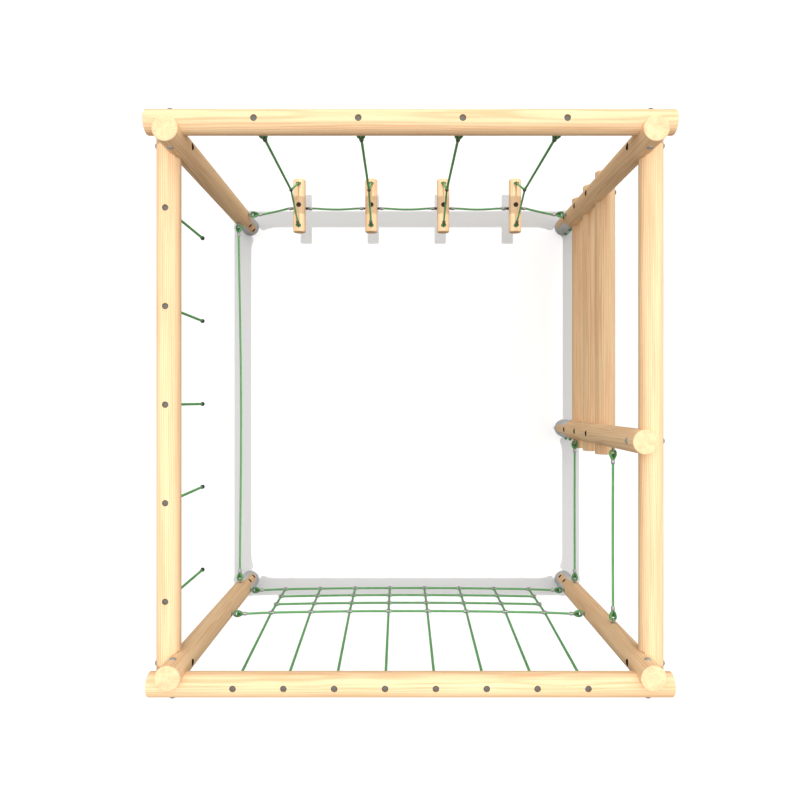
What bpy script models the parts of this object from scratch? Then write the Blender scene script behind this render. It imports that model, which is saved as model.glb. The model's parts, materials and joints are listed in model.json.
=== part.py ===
# A round-wood climbing frame: five posts in steel shoes, four top rails, three low logs,
# a rope net, four hanging steps and a row of hanging ropes.
# East is +X, north is +Y and the ground is z = 0. Sizes are in metres. The frame is built with
# its four corner posts about the origin and moved at the end to the middle of its footprint.
import math

import bmesh
import bpy
from mathutils import Matrix, Vector

# Posts
POST_DIAMETER = 0.140
POST_SPACING_X = 2.614
POST_SPACING_Y = 2.942
MIDDLE_POST_Y = -0.2075
NORTH_POST_HEIGHT = 2.117
SOUTH_POST_HEIGHT = 2.076
POST_HEAD = 0.028
MIDDLE_POST_HEAD = 0.038

# Rails and low logs, let in round the posts
RAIL_DIAMETER = 0.136
RAIL_OFFSET = 0.066
RAIL_OVERHANG = 0.130
LOG_COUNT = 3
LOWEST_LOG_HEIGHT = 0.318
LOG_PITCH = 0.3225
LOG_OVERHANG = 0.143
POST_EDGE = 0.004

# Post shoes: a steel cup with two slots, so that a tongue of the post shows in each
SHOE_HEIGHT = 0.300
SHOE_WALL = 0.005
SHOE_BASE = 0.008
TONGUE_WIDTH = 0.066
TONGUE_FOOT = 0.060
SHOE_BOLT_HEIGHTS = (0.099, 0.237)

# Bolts
SHANK_RADIUS = 0.006
CAP_RADIUS = 0.018
CAP_HEIGHT = 0.008
CAP_ROOT = 0.010
NUT_RECESS_RADIUS = 0.021
NUT_RECESS = 0.020
TOP_CAP_HEIGHT = 0.006
TOP_CAP_RECESS = 0.012
SHOE_HEAD_RADIUS = 0.013
SHOE_HEAD_HEIGHT = 0.006
SHOE_HOLE_RADIUS = 0.0165
GREEN_CAP_LENGTH = 0.022
EYE_SCREW_LENGTH = 0.080

# Eye bolts, rope eyes and ferrules
RING_BAR_RADIUS = 0.004
RING_HOLE_RADIUS = 0.0085
EYE_RADIUS = 0.023
FERRULE_RADIUS = 0.013
FERRULE_LENGTH = 0.048
GRIP = 0.0015

# Ropes
ROPE_RADIUS = 0.008
LEG_ROPE_RADIUS = 0.006

# Hanging steps under the north rail
STEP_COUNT = 4
STEP_PITCH = 0.560
STEP_DIAMETER = 0.095
STEP_LENGTH = 0.409
STEP_TOP = 0.438
STEP_BOLT_RADIUS = 0.0155
HANGER_DROP = 0.090
FORK_HEIGHT = 0.810
FORK_RADIUS = 0.0155
LEG_SPREAD = 0.340
LEG_EYE_RADIUS = 0.016
LEG_SCREW_LENGTH = 0.030
LINK_DROP = 0.0165
LINK_SAG = 0.030
LINK_POST_HEIGHT = 0.395

# Ropes hanging from the west rail
HANGING_ROPE_COUNT = 5
HANGING_ROPE_PITCH = 0.5525
HANGING_ROPE_END = 1.164
END_CAP_LENGTH = 0.038
END_CAP_RADIUS = 0.014

# Low and high ropes between posts: height at each end and sag in the middle
WEST_ROPE_NORTH_HEIGHT = 0.420
WEST_ROPE_SOUTH_HEIGHT = 0.380
WEST_ROPE_SAG = 0.057
EAST_ROPE_HEIGHTS = (0.386, 1.357)
EAST_ROPE_SAG = 0.004

# Net on the south side
NET_COLUMN_COUNT = 8
NET_COLUMN_PITCH = 0.275
NET_ROW_COUNT = 4
NET_ROW_PITCH = 0.2007
NET_LOWEST = 0.275
NET_SAG = 0.036
CONNECTOR_RADIUS = 0.017

CLEARANCE = 0.0003
SEAT_CLEARANCE = 0.0030
BORE_CLEARANCE = 0.0012
CUT_MARGIN = 0.006
WOOD_SEGMENTS = 16
STEP_SEGMENTS = 12
METAL_SEGMENTS = 6
SWING_RING_STEPS = 16
ARC_STEPS = 4
NET_RESOLUTION = 0
LEG_RESOLUTION = 1

POST_RADIUS = POST_DIAMETER / 2
RAIL_RADIUS = RAIL_DIAMETER / 2
STEP_RADIUS = STEP_DIAMETER / 2
POST_X = POST_SPACING_X / 2
POST_Y = POST_SPACING_Y / 2
RAIL_X = POST_X + RAIL_OFFSET
RAIL_Y = POST_Y + RAIL_OFFSET
NORTH_RAIL_Z = NORTH_POST_HEIGHT - POST_HEAD - RAIL_RADIUS
SOUTH_RAIL_Z = SOUTH_POST_HEIGHT - POST_HEAD - RAIL_RADIUS
SIDE_RAIL_Z = min(NORTH_RAIL_Z, SOUTH_RAIL_Z) - RAIL_DIAMETER - CLEARANCE
MIDDLE_POST_HEIGHT = SIDE_RAIL_Z + RAIL_RADIUS + MIDDLE_POST_HEAD
STEP_Z = STEP_TOP - STEP_RADIUS

EAST = Vector((1, 0, 0))
NORTH = Vector((0, 1, 0))
UP = Vector((0, 0, 1))

# Name of each post: x, y, height, and the way its tongue faces in degrees from east
POSTS = {
    "north_west": (-POST_X, POST_Y, NORTH_POST_HEIGHT, -45),
    "north_east": (POST_X, POST_Y, NORTH_POST_HEIGHT, 0),
    "south_west": (-POST_X, -POST_Y, SOUTH_POST_HEIGHT, 45),
    "south_east": (POST_X, -POST_Y, SOUTH_POST_HEIGHT, -45),
    "middle_east": (POST_X, MIDDLE_POST_Y, MIDDLE_POST_HEIGHT, 0),
}
LOG_POSTS = ("north_east", "middle_east")

for old in list(bpy.data.objects):
    bpy.data.objects.remove(old)


def new_collection(name, parent):
    collection = bpy.data.collections.new(name)
    parent.children.link(collection)
    return collection


PARTS = new_collection("climbing_frame", bpy.context.scene.collection)
CUTTERS = new_collection("cutters", bpy.context.scene.collection)


def material(name, color, roughness, metallic=0.0):
    paint = bpy.data.materials.new(name)
    paint.use_nodes = True
    shader = paint.node_tree.nodes["Principled BSDF"]
    shader.inputs["Base Color"].default_value = (*color, 1)
    shader.inputs["Roughness"].default_value = roughness
    shader.inputs["Metallic"].default_value = metallic
    return paint


WOOD = material("wood", (0.83, 0.62, 0.36), 0.65)
STEEL = material("galvanised_steel", (0.48, 0.49, 0.50), 0.5, 1.0)
ALUMINIUM = material("aluminium", (0.80, 0.81, 0.82), 0.3, 1.0)
ROPE = material("green_rope", (0.05, 0.19, 0.07), 0.8)
BLACK = material("black_plastic", (0.02, 0.02, 0.02), 0.5)


# Meshes and placing

def facing(origin, direction):
    """Puts a shape that is made along +Z at origin, pointing along direction."""
    turn = Vector(direction).normalized().to_track_quat("Z", "Y").to_matrix().to_4x4()
    return Matrix.Translation(origin) @ turn


def framed(origin, forward, ring_normal):
    """The same, with the shape's own +Y along ring_normal as well."""
    forward = Vector(forward).normalized()
    normal = Vector(ring_normal).normalized()
    turn = Matrix((normal.cross(forward), normal, forward)).transposed().to_4x4()
    return Matrix.Translation(origin) @ turn


def baked(obj):
    """The object's finished mesh; the object itself is removed."""
    bpy.context.view_layer.update()
    evaluated = obj.evaluated_get(bpy.context.evaluated_depsgraph_get())
    mesh = bpy.data.meshes.new_from_object(evaluated)
    bpy.data.objects.remove(obj)
    return mesh


def temporary(name, data):
    obj = bpy.data.objects.new(name, data)
    bpy.context.scene.collection.objects.link(obj)
    return obj


def smoothed(mesh):
    mesh.shade_smooth()
    mesh.set_sharp_from_angle(angle=math.radians(35))
    return mesh


def turned(profile, segments):
    """A solid of revolution about Z; the profile runs down its outer side."""
    mesh = bpy.data.meshes.new("profile")
    points = [(radius, 0, z) for radius, z in profile]
    mesh.from_pydata(points, [(i, i + 1) for i in range(len(points) - 1)], [])
    obj = temporary("profile", mesh)
    screw = obj.modifiers.new("Screw", "SCREW")
    screw.steps = segments
    screw.render_steps = segments
    screw.use_merge_vertices = True
    screw.merge_threshold = 0.00001
    return smoothed(baked(obj))


def ring(centre_radius, bar_radius, steps=8, bar_steps=4):
    bpy.ops.mesh.primitive_torus_add(major_radius=centre_radius, minor_radius=bar_radius,
                                     major_segments=steps, minor_segments=bar_steps)
    obj = bpy.context.object
    mesh = obj.data
    bpy.data.objects.remove(obj)
    mesh.shade_smooth()
    return mesh


def ball(radius, segments=6, rows=3):
    mesh = bpy.data.meshes.new("ball")
    shape = bmesh.new()
    bmesh.ops.create_uvsphere(shape, u_segments=segments, v_segments=rows, radius=radius)
    shape.to_mesh(mesh)
    shape.free()
    mesh.shade_smooth()
    return mesh


def tube(points, radius, resolution=2):
    """A rope along the points, with closed ends."""
    curve = bpy.data.curves.new("rope", "CURVE")
    curve.dimensions = "3D"
    curve.bevel_depth = radius
    curve.bevel_resolution = resolution
    curve.use_fill_caps = True
    spline = curve.splines.new("POLY")
    spline.points.add(len(points) - 1)
    for spline_point, point in zip(spline.points, points):
        spline_point.co = (*point, 1)
    mesh = baked(temporary("rope", curve))
    return welded(mesh)


def welded(mesh):
    shape = bmesh.new()
    shape.from_mesh(mesh)
    bmesh.ops.remove_doubles(shape, verts=shape.verts, dist=0.00001)
    bmesh.ops.recalc_face_normals(shape, faces=shape.faces)
    shape.to_mesh(mesh)
    shape.free()
    return smoothed(mesh)


def moved(mesh, matrix):
    copy = mesh.copy()
    copy.transform(matrix)
    return copy


def united(solids):
    """One solid from a list of overlapping (mesh, matrix)."""
    obj = temporary("joined", moved(*solids[0]))
    others = new_collection("others", bpy.context.scene.collection)
    for mesh, matrix in solids[1:]:
        others.objects.link(bpy.data.objects.new("other", moved(mesh, matrix)))
    boolean = obj.modifiers.new("Union", "BOOLEAN")
    boolean.operation = "UNION"
    boolean.operand_type = "COLLECTION"
    boolean.collection = others
    result = baked(obj)
    for other in list(others.objects):
        bpy.data.objects.remove(other)
    bpy.data.collections.remove(others)
    return result


def piece(name, mesh, paint, pivot=None):
    """A named piece, on the empty at its joint if it has one."""
    mesh = mesh.copy()
    obj = bpy.data.objects.new(name, mesh)
    mesh.materials.clear()
    mesh.materials.append(paint)
    PARTS.objects.link(obj)
    if pivot is not None:
        mesh.transform(pivot.matrix_world.inverted())
        obj.parent = pivot
    return obj


def joint_empty(name, place):
    empty = bpy.data.objects.new(name, None)
    empty.location = place
    PARTS.objects.link(empty)
    bpy.context.view_layer.update()
    return empty


# Shaping the wood: what is cut from a piece and what is added to it

def solid_set(kind, name):
    full_name = f"{kind}_{name}"
    found = bpy.data.collections.get(full_name)
    return found or new_collection(full_name, CUTTERS)


def cutter(kind, names, mesh, matrix):
    obj = bpy.data.objects.new("cutter", mesh)
    obj.matrix_world = matrix
    obj.hide_render = True
    obj.display_type = "WIRE"
    for name in names:
        solid_set(kind, name).objects.link(obj)


SHAPED = []


def shape_all():
    """Adds the modifiers once every cutter is in its set."""
    for obj, name in SHAPED:
        for kind in ("saddles", "cheeks", "holes", "heads"):
            collection = solid_set(kind, name)
            if collection.objects:
                boolean = obj.modifiers.new(kind, "BOOLEAN")
                boolean.operation = "UNION" if kind == "heads" else "DIFFERENCE"
                boolean.operand_type = "COLLECTION"
                boolean.collection = collection


def bored(name, under, thickness):
    """A bolt hole down through a rail or a step, with a recess for the bolt's head at the top."""
    bore = SHANK_RADIUS + BORE_CLEARANCE
    recess = CAP_RADIUS + SEAT_CLEARANCE
    profile = [(0, thickness + CUT_MARGIN), (recess, thickness + CUT_MARGIN),
               (recess, thickness - TOP_CAP_RECESS), (bore, thickness - TOP_CAP_RECESS),
               (bore, -CUT_MARGIN), (0, -CUT_MARGIN)]
    cutter("holes", [name], turned(profile, METAL_SEGMENTS), Matrix.Translation(under))


def pocket(name, origin, forward, radius, depth):
    """A blind hole in the wood's crown at origin."""
    profile = [(0, CUT_MARGIN), (radius, CUT_MARGIN), (radius, -depth), (0, -depth)]
    cutter("holes", [name], turned(profile, METAL_SEGMENTS), facing(origin, forward))


def head(name, origin, forward, radius, height):
    """A bolt's low head, one with the piece that it sits on."""
    profile = [(0, height), (radius * 0.6, height), (radius, height * 0.4), (radius, -CAP_ROOT),
               (0, -CAP_ROOT)]
    cutter("heads", [name], turned(profile, METAL_SEGMENTS), facing(origin, forward))


def eye_bolt(ring_place, foot, head_height=0, ring_steps=8):
    """An eye bolt along Z: its ring stands ring_place above the surface and its shank goes down
    to foot, where a bolt that goes right through has a head."""
    centre_radius = RING_HOLE_RADIUS + RING_BAR_RADIUS
    ring_mesh = ring(centre_radius, RING_BAR_RADIUS, ring_steps)
    neck = ring_place - centre_radius
    profile = [(0, neck), (SHANK_RADIUS, neck), (SHANK_RADIUS, foot)]
    if head_height:
        profile += [(CAP_RADIUS, foot), (CAP_RADIUS * 0.8, foot - head_height)]
    profile.append((0, foot - head_height))
    turn = Matrix.Rotation(math.pi / 2, 4, "X")
    return united([(turned(profile, METAL_SEGMENTS), Matrix.Identity(4)),
                   (ring_mesh, Matrix.Translation((0, 0, ring_place)) @ turn)])


# Posts, shoes, rails and logs

def log_mesh(radius, length, segments=WOOD_SEGMENTS, edge=0):
    """A round log about its middle; edge is the bevel at its upper end."""
    half = length / 2
    profile = [(0, half), (radius - edge, half)]
    if edge:
        profile.append((radius, half - edge))
    return turned(profile + [(radius, -half), (0, -half)], segments)


def tongue_shape(extra):
    """The tongue's outline, pushed right through the shoe; its lower end is a half round."""
    half = TONGUE_WIDTH / 2 + extra
    centre = TONGUE_FOOT + TONGUE_WIDTH / 2
    top = SHOE_HEIGHT + 2 * CUT_MARGIN
    arc = [math.pi * (1 + i / ARC_STEPS) for i in range(ARC_STEPS + 1)]
    outline = [(half, top), (-half, top)]
    outline += [(half * math.cos(a), centre + half * math.sin(a)) for a in arc]
    curve = bpy.data.curves.new("tongue", "CURVE")
    curve.dimensions = "2D"
    curve.fill_mode = "BOTH"
    curve.extrude = POST_DIAMETER
    spline = curve.splines.new("POLY")
    spline.points.add(len(outline) - 1)
    for spline_point, (across, height) in zip(spline.points, outline):
        spline_point.co = (across, height, 0, 1)
    spline.use_cyclic_u = True
    mesh = welded(baked(temporary("tongue", curve)))
    mesh.transform(Matrix.Rotation(math.pi / 2, 4, "Z") @ Matrix.Rotation(math.pi / 2, 4, "X"))
    return mesh


def cheeks_cutter():
    """What the shoe's cheeks take from the post: a sleeve outside the core, but not the tongues."""
    core = POST_RADIUS - SHOE_WALL - CLEARANCE
    outer = POST_RADIUS + CUT_MARGIN
    top = SHOE_HEIGHT + CLEARANCE
    sleeve = turned([(core, -CUT_MARGIN), (core, top), (outer, top), (outer, -CUT_MARGIN),
                     (core, -CUT_MARGIN)], WOOD_SEGMENTS)
    obj = temporary("sleeve", welded(sleeve))
    tongue = temporary("tongue", tongue_shape(0))
    boolean = obj.modifiers.new("Tongue", "BOOLEAN")
    boolean.operation = "DIFFERENCE"
    boolean.object = tongue
    mesh = baked(obj)
    bpy.data.objects.remove(tongue)
    return mesh


def shoe_mesh():
    inner = POST_RADIUS - SHOE_WALL
    cup = turned([(0, SHOE_BASE), (inner, SHOE_BASE), (inner, SHOE_HEIGHT),
                  (POST_RADIUS, SHOE_HEIGHT), (POST_RADIUS, 0), (0, 0)], WOOD_SEGMENTS)
    obj = temporary("cup", cup)
    tongue = temporary("tongue", tongue_shape(CLEARANCE))
    boolean = obj.modifiers.new("Tongue", "BOOLEAN")
    boolean.operation = "DIFFERENCE"
    boolean.object = tongue
    mesh = baked(obj)
    bpy.data.objects.remove(tongue)
    return mesh


def shaped(name, mesh, matrix, paint=WOOD):
    """A piece that its named sets of solids shape."""
    obj = piece(name, mesh, paint)
    obj.matrix_world = matrix
    SHAPED.append((obj, name))


def build_posts():
    cheeks = cheeks_cutter()
    shoe = shoe_mesh()
    foot = SHOE_BASE + CLEARANCE
    for name, (x, y, height, angle) in POSTS.items():
        turn = Matrix.Rotation(math.radians(angle), 4, "Z")
        place = Matrix.Translation((x, y, 0)) @ turn
        middle = Matrix.Translation((x, y, (foot + height) / 2))
        mesh = log_mesh(POST_RADIUS, height - foot, edge=POST_EDGE)
        cutter("cheeks", [f"post_{name}"], cheeks, place)
        shaped(f"post_{name}", mesh, middle @ turn)
        shaped(f"shoe_{name}", shoe, place, STEEL)


def saddle(name, post):
    x, y, height, angle = POSTS[post]
    radius = POST_RADIUS + CLEARANCE
    top = height + POST_RADIUS
    mesh = turned([(0, top), (radius, top), (radius, 0), (0, 0)], WOOD_SEGMENTS)
    turn = Matrix.Rotation(math.radians(angle), 4, "Z")
    cutter("saddles", [name], mesh, Matrix.Translation((x, y, 0)) @ turn)


def build_rails():
    long_rail = log_mesh(RAIL_RADIUS, POST_SPACING_X + 2 * RAIL_OVERHANG)
    side_rail = log_mesh(RAIL_RADIUS, POST_SPACING_Y + 2 * RAIL_OVERHANG)
    rails = {
        "north_rail": (long_rail, (0, RAIL_Y, NORTH_RAIL_Z), EAST, ("north_west", "north_east")),
        "south_rail": (long_rail, (0, -RAIL_Y, SOUTH_RAIL_Z), EAST, ("south_west", "south_east")),
        "west_rail": (side_rail, (-RAIL_X, 0, SIDE_RAIL_Z), NORTH, ("north_west", "south_west")),
        "east_rail": (side_rail, (RAIL_X, 0, SIDE_RAIL_Z), NORTH,
                      ("north_east", "south_east", "middle_east")),
    }
    for name, (mesh, centre, direction, posts) in rails.items():
        for post in posts:
            saddle(name, post)
        shaped(name, mesh, facing(centre, direction))


def log_height(index):
    return LOWEST_LOG_HEIGHT + index * LOG_PITCH


def build_logs():
    south_end = MIDDLE_POST_Y - LOG_OVERHANG
    north_end = POST_Y + LOG_OVERHANG
    mesh = log_mesh(RAIL_RADIUS, north_end - south_end)
    for index in range(LOG_COUNT):
        name = f"east_log_{index + 1}"
        for post in LOG_POSTS:
            saddle(name, post)
        centre = (RAIL_X, (north_end + south_end) / 2, log_height(index))
        shaped(name, mesh, facing(centre, NORTH))


# Bolts of the rails, the logs and the shoes: heads outside, and heads or deep recesses inside

def frame_bolt(rail, post, outward, height, recessed):
    x, y, _height, _angle = POSTS[post]
    axis = Vector((x, y, height))
    head(rail, axis + outward * (RAIL_OFFSET + RAIL_RADIUS), outward, CAP_RADIUS, CAP_HEIGHT)
    inner = axis - outward * POST_RADIUS
    if recessed:
        pocket(f"post_{post}", inner, -outward, NUT_RECESS_RADIUS, NUT_RECESS)
    else:
        head(f"post_{post}", inner, -outward, CAP_RADIUS, CAP_HEIGHT)


def build_frame_bolts():
    for post, (x, y, _height, _angle) in POSTS.items():
        across = EAST if x > 0 else -EAST
        middle = post == "middle_east"
        frame_bolt("east_rail" if x > 0 else "west_rail", post, across, SIDE_RAIL_Z, not middle)
        if middle:
            continue
        if y > 0:
            frame_bolt("north_rail", post, NORTH, NORTH_RAIL_Z, False)
        else:
            frame_bolt("south_rail", post, -NORTH, SOUTH_RAIL_Z, False)
    for index in range(LOG_COUNT):
        for post in LOG_POSTS:
            frame_bolt(f"east_log_{index + 1}", post, EAST, log_height(index), True)


def build_shoe_bolts():
    """Recessed bolts in the tongues of three posts; heads and green caps on the other shoes."""
    for name, (x, y, _height, angle) in POSTS.items():
        for height in SHOE_BOLT_HEIGHTS:
            axis = Vector((x, y, height))
            if angle:
                for side in (1, -1):
                    way = side * (Matrix.Rotation(math.radians(angle), 3, "Z") @ EAST)
                    pocket(f"post_{name}", axis + way * POST_RADIUS, way, SHOE_HOLE_RADIUS,
                           NUT_RECESS)
            else:
                for way, height_out in ((NORTH, SHOE_HEAD_HEIGHT), (-NORTH, GREEN_CAP_LENGTH)):
                    shoe_head(f"shoe_{name}", axis + way * POST_RADIUS, way, height_out)


def shoe_head(name, origin, forward, height):
    """A head or a long nut cap on a shoe's thin wall."""
    root = -SHOE_WALL / 2
    profile = [(0, height), (SHOE_HEAD_RADIUS * 0.6, height), (SHOE_HEAD_RADIUS, height * 0.5),
               (SHOE_HEAD_RADIUS, root), (0, root)]
    cutter("heads", [name], turned(profile, METAL_SEGMENTS), facing(origin, forward))


# Rope fittings

class RopeEnd:
    """A rope eye in a ring, its ferrule, and the end face from which the rope goes on."""

    def __init__(self, ring_centre, way, slack, ferrule_length=FERRULE_LENGTH):
        self.way = Vector(way).normalized()
        self.pin = Vector(ring_centre) + self.way * (RING_HOLE_RADIUS - slack - ROPE_RADIUS)
        self.eye = self.pin + self.way * EYE_RADIUS
        self.ferrule = self.eye + self.way * (EYE_RADIUS - ROPE_RADIUS / 2)
        self.end = self.ferrule + self.way * ferrule_length
        self.inside = self.end - self.way * (ferrule_length / 2)

    def solids(self, eye_normal):
        return [(ring(EYE_RADIUS, ROPE_RADIUS), facing(self.eye, eye_normal)),
                (ferrule_mesh(FERRULE_RADIUS, (self.end - self.ferrule).length),
                 facing(self.ferrule, self.way))]


def ferrule_mesh(radius, length):
    """A pressed sleeve along Z."""
    return turned([(0, length), (radius, length), (radius, 0), (0, 0)], METAL_SEGMENTS)


def sag_points(start, end, sag, count):
    """Points of a rope that leaves both ends level and sags between them."""
    points = []
    for i in range(count + 1):
        t = i / count
        point = Vector(start).lerp(Vector(end), t)
        point.z -= sag * (4 * t * (1 - t)) ** 1.5
        points.append(point)
    return points


def straight_ended(curve, start, end, way, sag, count):
    """The curve's points with a straight lead along way at both ends, square to what it meets."""
    lead = way * 2 * ROPE_RADIUS
    return [start, *curve(start + lead, end - lead, sag, count), end]


# Eye screws in the posts, with the ropes that are pulled tight in their rings

def post_end(name, way, height):
    """A rope end in an eye screw: the end, and the solids of both."""
    x, y, _height, _angle = POSTS[name]
    surface = Vector((x, y, height)) + way * POST_RADIUS
    stand_off = RING_HOLE_RADIUS + 2 * RING_BAR_RADIUS + CLEARANCE
    pocket(f"post_{name}", surface, way, SHANK_RADIUS + BORE_CLEARANCE,
           EYE_SCREW_LENGTH + CLEARANCE)
    end = RopeEnd(surface + way * stand_off, way, -GRIP)
    screw = eye_bolt(stand_off, -EYE_SCREW_LENGTH)
    return end, [(screw, framed(surface, way, UP.cross(way)))] + end.solids(UP)


def post_rope(name, south, north, sag, count):
    south_end, south_solids = south
    north_end, north_solids = north
    points = [south_end.inside, *sag_points(south_end.end, north_end.end, sag, count),
              north_end.inside]
    rope = (tube(points, ROPE_RADIUS), Matrix.Identity(4))
    piece(name, united([rope] + south_solids + north_solids), ROPE)


def build_post_ropes():
    post_rope("west_low_rope", post_end("south_west", NORTH, WEST_ROPE_SOUTH_HEIGHT),
              post_end("north_west", -NORTH, WEST_ROPE_NORTH_HEIGHT), WEST_ROPE_SAG, 12)
    for name, height in zip(("east_low_rope", "east_high_rope"), EAST_ROPE_HEIGHTS):
        post_rope(name, post_end("south_east", NORTH, height),
                  post_end("middle_east", -NORTH, height), EAST_ROPE_SAG, 4)


# Net

def net_x(column):
    return (column - (NET_COLUMN_COUNT - 1) / 2) * NET_COLUMN_PITCH


def net_z(row, x):
    outermost = net_x(NET_COLUMN_COUNT - 1)
    return NET_LOWEST + row * NET_ROW_PITCH + NET_SAG * (x / outermost) ** 2


def net_knot(column, row):
    x = net_x(column)
    return Vector((x, -POST_Y, net_z(row, x)))


def build_net():
    """All ropes run from connector to connector; the ends are in ferrules."""
    last = NET_COLUMN_COUNT - 1
    columns = range(NET_COLUMN_COUNT)
    rows = range(NET_ROW_COUNT)
    solids = []
    for row in rows:
        points = [net_knot(column, row) for column in columns]
        if row in (0, NET_ROW_COUNT - 1):
            height = net_z(row, POST_X - POST_RADIUS)
            west, west_solids = post_end("south_west", EAST, height)
            east, east_solids = post_end("south_east", -EAST, height)
            points = [west.inside, west.end, *points, east.end, east.inside]
            solids += west_solids + east_solids
        solids.append((tube(points, ROPE_RADIUS, NET_RESOLUTION), Matrix.Identity(4)))

    rail_under = SOUTH_RAIL_Z - RAIL_RADIUS
    for column in columns:
        top = Vector((net_x(column), -RAIL_Y, rail_under - CLEARANCE))
        points = [net_knot(column, row) for row in rows] + [top - UP * (FERRULE_LENGTH / 2)]
        solids.append((tube(points, ROPE_RADIUS, NET_RESOLUTION), Matrix.Identity(4)))
        solids.append((ferrule_mesh(FERRULE_RADIUS, FERRULE_LENGTH), facing(top, -UP)))
        crown = Vector((net_x(column), -RAIL_Y, SOUTH_RAIL_Z + RAIL_RADIUS))
        pocket("south_rail", crown, UP, CAP_RADIUS + SEAT_CLEARANCE, TOP_CAP_RECESS)
        head("south_rail", crown - UP * TOP_CAP_RECESS, UP, CAP_RADIUS, TOP_CAP_HEIGHT)

    knot = ball(CONNECTOR_RADIUS)
    solids += [(knot, Matrix.Translation(net_knot(column, row))) for column in columns
               for row in rows]
    piece("rope_net", united(solids), ROPE)


# Hanging steps

def rail_eye(rail, under, drop, bolt_name, ring_normal):
    """An eye bolt down through a rail; returns the end of the rope that hangs in its ring."""
    bored(rail, under, RAIL_DIAMETER)
    ring_place = drop + RING_HOLE_RADIUS + 2 * RING_BAR_RADIUS + CLEARANCE
    seat = TOP_CAP_RECESS - RAIL_DIAMETER - CLEARANCE
    piece(bolt_name, moved(eye_bolt(ring_place, seat, TOP_CAP_HEIGHT, SWING_RING_STEPS),
                           framed(under, -UP, ring_normal)), STEEL)
    return RopeEnd(under - UP * ring_place, -UP, CLEARANCE)


def step_x(index):
    return (index - (STEP_COUNT - 1) / 2) * STEP_PITCH


def link_z():
    """Height of the link ropes, which meet under each step."""
    return STEP_TOP - STEP_DIAMETER - LINK_DROP


def link_reach():
    return STEP_RADIUS + FERRULE_LENGTH


def step_suspension(top, fork, crowns):
    """The hanger rope, the fork under it and two legs, each with an eye on a screw in the step."""
    solids = top.solids(NORTH)
    solids.append((tube([top.inside, fork], ROPE_RADIUS), Matrix.Identity(4)))
    solids.append((ball(FORK_RADIUS), Matrix.Translation(fork)))
    for crown in crowns:
        way = (fork - crown).normalized()
        eye = crown + UP * CLEARANCE + way * (LEG_EYE_RADIUS + 2 * LEG_ROPE_RADIUS)
        rope_start = eye + way * LEG_EYE_RADIUS
        screw = turned([(0, 0.016), (0.009, 0.012), (0.009, CLEARANCE), (SHANK_RADIUS, CLEARANCE),
                        (SHANK_RADIUS, -LEG_SCREW_LENGTH), (0, -LEG_SCREW_LENGTH)],
                       METAL_SEGMENTS)
        solids += [(screw, Matrix.Translation(crown)),
                   (ring(LEG_EYE_RADIUS, LEG_ROPE_RADIUS), framed(eye, EAST.cross(way), way)),
                   (tube([rope_start, fork], LEG_ROPE_RADIUS, LEG_RESOLUTION),
                    Matrix.Identity(4))]
    return united(solids)


def link_fitting(under):
    """The bolt through a step and the two ferrules that it holds under the step."""
    seat = STEP_DIAMETER - TOP_CAP_RECESS + CLEARANCE
    bolt = turned([(0, seat + TOP_CAP_HEIGHT), (STEP_BOLT_RADIUS, seat + TOP_CAP_HEIGHT * 0.5),
                   (STEP_BOLT_RADIUS, seat), (SHANK_RADIUS, seat), (SHANK_RADIUS, -LINK_DROP),
                   (0, -LINK_DROP)], METAL_SEGMENTS)
    reach = link_reach()
    bar = turned([(0, reach), (FERRULE_RADIUS, reach), (FERRULE_RADIUS, STEP_RADIUS),
                  (ROPE_RADIUS, STEP_RADIUS), (ROPE_RADIUS, -STEP_RADIUS),
                  (FERRULE_RADIUS, -STEP_RADIUS), (FERRULE_RADIUS, -reach), (0, -reach)],
                 METAL_SEGMENTS)
    return united([(bolt, Matrix.Translation(under)),
                   (bar, facing(under - UP * LINK_DROP, EAST))])


def build_step(index):
    x = step_x(index)
    number = index + 1
    centre = Vector((x, RAIL_Y, STEP_Z))
    under_rail = Vector((x, RAIL_Y, NORTH_RAIL_Z - RAIL_RADIUS))
    top = rail_eye("north_rail", under_rail, HANGER_DROP, f"north_eye_bolt_{number}", EAST)
    pivot = joint_empty(f"step_{number}_pivot", top.pin)
    fork = Vector((x, RAIL_Y, FORK_HEIGHT))

    name = f"step_log_{number}"
    log = moved(log_mesh(STEP_RADIUS, STEP_LENGTH, STEP_SEGMENTS), facing(centre, NORTH))
    SHAPED.append((piece(name, log, WOOD, pivot), name))
    crowns = [centre + NORTH * (side * LEG_SPREAD / 2) + UP * STEP_RADIUS for side in (-1, 1)]
    for crown in crowns:
        pocket(name, crown, UP, SHANK_RADIUS + BORE_CLEARANCE, LEG_SCREW_LENGTH + CLEARANCE)
    piece(f"step_rope_{number}", step_suspension(top, fork, crowns), ROPE, pivot)

    under = centre - UP * STEP_RADIUS
    bored(name, under, STEP_DIAMETER)
    piece(f"step_link_bolt_{number}", link_fitting(under), ALUMINIUM, pivot)
    return pivot


def eased_points(start, end, sag, count):
    """A short rope that leaves both ends along east, moving over and down between them."""
    points = []
    for i in range(count + 1):
        t = i / count
        ease = t * t * (3 - 2 * t)
        x = start.x + (end.x - start.x) * t
        y = start.y + (end.y - start.y) * ease
        z = start.z + (end.z - start.z) * ease - sag * (4 * t * (1 - t)) ** 1.5
        points.append(Vector((x, y, z)))
    return points


def link_point(index, side):
    """Where a link rope meets the ferrule on one side of a step."""
    return Vector((step_x(index) + side * (link_reach() + CLEARANCE), RAIL_Y, link_z()))


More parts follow.
